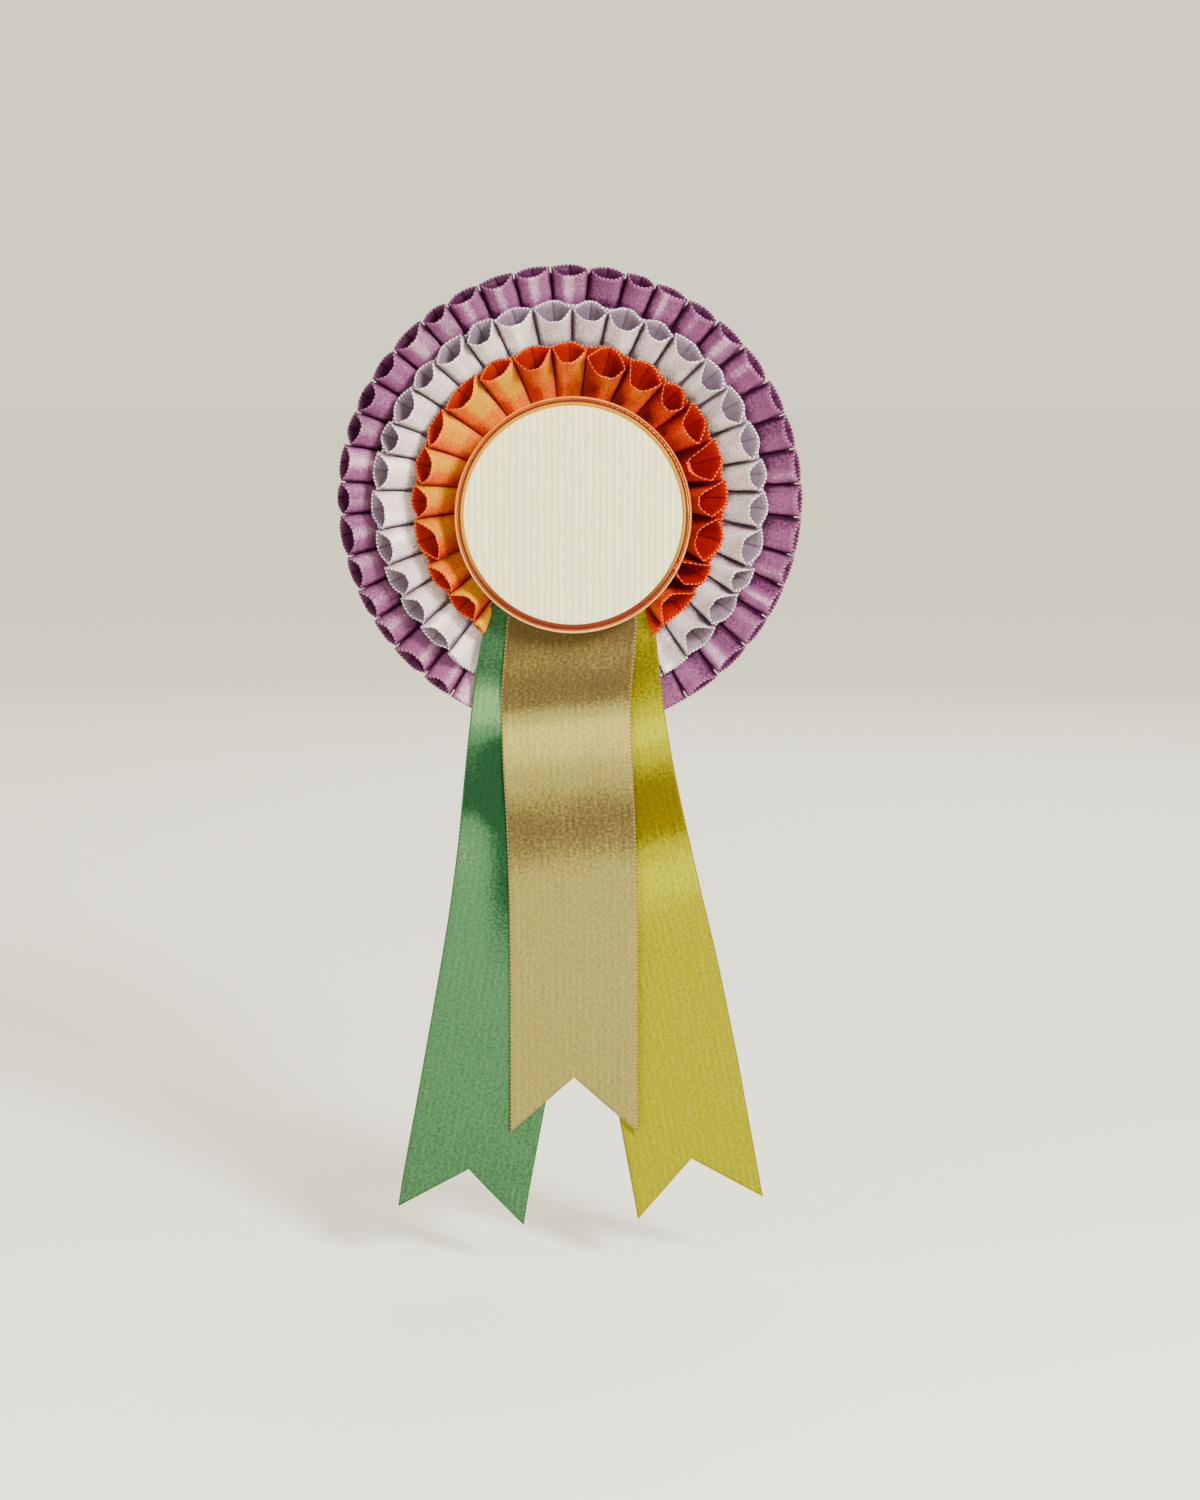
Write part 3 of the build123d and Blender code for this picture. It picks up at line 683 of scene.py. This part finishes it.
def makeTail(name, colour, look):
    tab, tail = colour + "_tab", colour + "_tail"
    centreZ = (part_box("purple_ribbon")[0].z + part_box("purple_ribbon")[1].z) / 2
    footX, footZ = tailFoot(tail, look)
    turn = radians(look["splay"])
    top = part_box(tab)[1].z
    fullLength = (top - footZ) / cos(turn)
    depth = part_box(tail)[0].y + drape["inset"]
    columns, rows = drape["columns"], look["rows"]
    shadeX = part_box("beige_tail")[0].x - 0.001  # painted shadow: a side streamer is darker close beside the centre one
    tabWidth = drape["tabWidth"]
    point, along, paintedShading = {}, {}, {}
    for i in range(columns + 1):
        u = i / columns - 0.5
        length = fullLength - look["notch"] * (1 - 2 * abs(u))
        for j in range(rows + 1):
            down = length * (1 - j / rows)
            drop = centreZ - (footZ + (fullLength - down) * cos(turn))
            full = ease(drop, *drape["widens"])
            middle = footX - (fullLength - down) * sin(turn)
            wide = tabWidth + (look["width"] - tabWidth) * full
            x = middle * full + u * wide * (cos(turn) * full + 1 - full) + blendCurve(look["sway"], drop)
            z = centreZ - drop + u * wide * sin(turn) * full
            y = depth - blendCurve(drape["fall"], drop) + drape["cup"] * (2 * u) ** 2 * full
            point[i, j] = Vector((x, y, z))
            along[i, j] = down
            # painted light and shade from the bands, and the painted shadow beside the centre streamer
            slanted = drop + u * look["width"] * look["slant"]
            paintedShadow = ease(x, shadeX - drape["shadeBeside"], shadeX) * ease(drop, *drape["shadeFrom"])
            paintedShadow *= 1 - ease(drop, *drape["shadeTo"])
            paintedShading[i, j] = blendCurve(look["paintedSheenBands"], slanted) - look["shade"] * paintedShadow
    piece = clothGrid(name, columns, rows)
    places = gridPlaces(piece, columns, rows)
    front = {i: 1.0 for i in range(columns + 1)}
    layCloth(piece, places, point, front, paintedShading, lambda i, j: (along[i, j], i / columns * look["width"]))
    finishCloth(piece, drape["thickness"], False)
    piece.data.materials.clear()
    piece.data.materials.append(satinMaterial(name + "Satin", look))
    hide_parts(tab, tail)
    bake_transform(piece)
    print(name, "hung,", round(fullLength * 1000), "mm long")


makeTail("limeStreamer", "lime", limeTail)
makeTail("greenStreamer", "green", greenTail)
makeTail("beigeStreamer", "beige", beigeTail)


# button's rim

rimCord = {"strands": 3, "turnsPerRing": 60, "steps": 8, "sides": 8}
piping = {"strands": 2, "turnsPerRing": 130, "steps": 6, "sides": 6}


def makeTwist(name, node, look, material):
    # a twisted cord laid in a ring where the plain ring is
    low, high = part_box(node)
    centre = (low + high) / 2
    wire = (high.y - low.y) / 2
    ringR = (high.x - low.x) / 2 - wire
    strandR = wire * (0.54 if look["strands"] == 3 else 0.52)
    offset = wire - strandR
    count = look["turnsPerRing"] * look["steps"]
    bpy.ops.object.select_all(action="DESELECT")
    strands = []
    for s in range(look["strands"]):
        bpy.ops.mesh.primitive_torus_add(major_segments=count, minor_segments=look["sides"],
                                         major_radius=ringR, minor_radius=strandR)
        strand = bpy.context.object
        for vertex in strand.data.vertices:
            angle = atan2(vertex.co.y, vertex.co.x)
            twist = angle * look["turnsPerRing"] + tau * s / look["strands"]
            out = hypot(vertex.co.x, vertex.co.y) + offset * cos(twist)
            rise = vertex.co.z + offset * sin(twist)
            vertex.co = centre + Vector((out * cos(angle), -rise, out * sin(angle)))
        strands.append(strand)
    for strand in strands:
        strand.select_set(True)
    bpy.context.view_layer.objects.active = strands[0]
    bpy.ops.object.join()
    piece = bpy.context.object
    piece.name = name
    piece.data.name = name
    bpy.ops.object.mode_set(mode="EDIT")
    bpy.ops.mesh.select_all(action="SELECT")
    bpy.ops.mesh.normals_make_consistent(inside=False)
    bpy.ops.object.mode_set(mode="OBJECT")
    bpy.ops.object.shade_smooth()
    piece.data.materials.clear()
    piece.data.materials.append(material)
    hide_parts(node)
    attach(piece, "rosette")
    print(name, "twisted")


def threadMaterial(name, low, high, heights):
    # lustrous thread, with painted light and shade that change up the button's rim
    material, tree, shader, bump = freshMaterial(name, 0.00006, 0.5)
    where = put(tree, "ShaderNodeTexCoord").outputs["Object"]
    height = put(tree, "ShaderNodeSeparateXYZ", [(0, where)]).outputs[2]
    base = mixColour(tree, ramp(tree, height, *heights), low, high)
    hairs = noise(tree, where, (3500, 3500, 3500), detail=3)
    dark = mixColour(tree, ramp(tree, hairs, 0.3, 0.7, 0.75, 1.0), (0, 0, 0, 1), base)
    tree.links.new(dark, shader.inputs["Base Color"])
    rough = ramp(tree, hairs, 0.3, 0.7, 0.5, 0.7)
    tree.links.new(rough, shader.inputs["Roughness"])
    tree.links.new(hairs, bump.inputs["Height"])
    shader.inputs["Specular IOR Level"].default_value = 0.15
    return material


# gold cord: painted shade at its bottom; copper piping: a painted highlight at its bottom
goldThread = threadMaterial("goldThread", tint(112, 30, 0), tint(178, 124, 0), (-0.040, -0.020))
copperThread = threadMaterial("copperThread", tint(210, 166, 104), tint(204, 118, 44), (-0.040, -0.014))
makeTwist("rimCord", "rim_cord", rimCord, goldThread)
makeTwist("rimPiping", "rim_piping", piping, copperThread)


# materials for the CAD pieces that stay


def paperMaterial():
    # laid paper: upright ribs, pressed in unevenly, with short fibres
    material, tree, shader, bump = freshMaterial("laidPaper", 0.00012, 0.6)
    where = put(tree, "ShaderNodeTexCoord").outputs["Object"]
    wander = noise(tree, where, (260, 260, 60), detail=2)
    side = put(tree, "ShaderNodeSeparateXYZ", [(0, where)]).outputs[0]
    bent = calc(tree, "ADD", side, calc(tree, "MULTIPLY", wander, 0.0011))
    ribs = calc(tree, "SINE", calc(tree, "MULTIPLY", bent, tau / 0.00165))
    fibre = noise(tree, where, (2400, 2400, 900), detail=4)
    depth = calc(tree, "ADD", calc(tree, "MULTIPLY", ribs, 0.5), fibre)
    shade = ramp(tree, depth, -0.2, 1.2)
    tone = mixColour(tree, shade, tint(196, 191, 144), tint(218, 213, 168))
    tree.links.new(tone, shader.inputs["Base Color"])
    tree.links.new(ramp(tree, fibre, 0.3, 0.7, 0.72, 0.86), shader.inputs["Roughness"])
    tree.links.new(depth, bump.inputs["Height"])
    return material


def braidMaterial():
    # narrow dark braid round the cord
    material, tree, shader, bump = freshMaterial("darkBraid", 0.0001, 0.6)
    where = put(tree, "ShaderNodeTexCoord").outputs["Object"]
    grain = noise(tree, where, (1800, 1800, 1800), detail=3)
    tone = mixColour(tree, ramp(tree, grain, 0.35, 0.65), tint(60, 12, 0), tint(104, 30, 0))
    tree.links.new(tone, shader.inputs["Base Color"])
    tree.links.new(ramp(tree, grain, 0.3, 0.7, 0.6, 0.8), shader.inputs["Roughness"])
    tree.links.new(grain, bump.inputs["Height"])
    shader.inputs["Specular IOR Level"].default_value = 0.15
    return material


def threadOnly(name, colour):
    values = {"Light": colour, "Dark": tuple(c * 0.5 for c in colour[:3]) + (1.0,), "Fineness": 1.6}
    return groupMaterial(name, fibres, values, 0.0, 0.00008, 0.5)


nickel = groupMaterial("nickelPlate", wear, {"Tone": tint(206, 202, 194), "Tarnish": tint(140, 130, 116),
                                             "Roughness": 0.2}, 1.0, 0.00001, 0.3)
steel = groupMaterial("needleSteel", wear, {"Tone": tint(200, 201, 205), "Tarnish": tint(150, 150, 152),
                                            "Roughness": 0.14}, 1.0, 0.00001, 0.2)
tin = groupMaterial("lacqueredTin", wear, {"Tone": tint(206, 120, 52), "Tarnish": tint(120, 52, 16),
                                       "Roughness": 0.3}, 1.0, 0.00002, 0.4)
board = groupMaterial("greyboard", fibres, {"Light": tint(176, 170, 158), "Dark": tint(138, 132, 120),
                                            "Fineness": 1.0}, 0.0, 0.00006, 0.6)
felt = groupMaterial("backFelt", fibres, {"Light": tint(92, 52, 84), "Dark": tint(56, 28, 52),
                                          "Fineness": 0.8}, 0.0, 0.0003, 0.9)
foam = groupMaterial("foamPad", fibres, {"Light": tint(236, 234, 226), "Dark": tint(206, 204, 194),
                                         "Fineness": 1.2}, 0.0, 0.0001, 0.7)

finishes = {
    "back_cover": felt,
    "base_card": board, "middle_card": board, "inner_card": board, "centre_card": board, "tail_card": board,
    "button_back": board, "glue_pads": foam, "button_shell": tin,
    "button_face": paperMaterial(), "rim_band": braidMaterial(),
    "purple_stitching": threadOnly("purpleThread", tint(120, 66, 110)),
    "white_stitching": threadOnly("whiteThread", tint(226, 222, 224)),
    "orange_stitching": threadOnly("orangeThread", tint(206, 92, 30)),
    "staples": steel, "pin_needle": steel,
    "pin_bar": nickel, "pin_rivets": nickel, "pin_knuckle": nickel, "hinge_rivet": nickel,
    "catch_post": nickel, "catch_drum": nickel,
}
for name, finish in finishes.items():
    for slot in nodes[name].material_slots:
        slot.material = finish
print("finishes given to", len(finishes), "pieces")
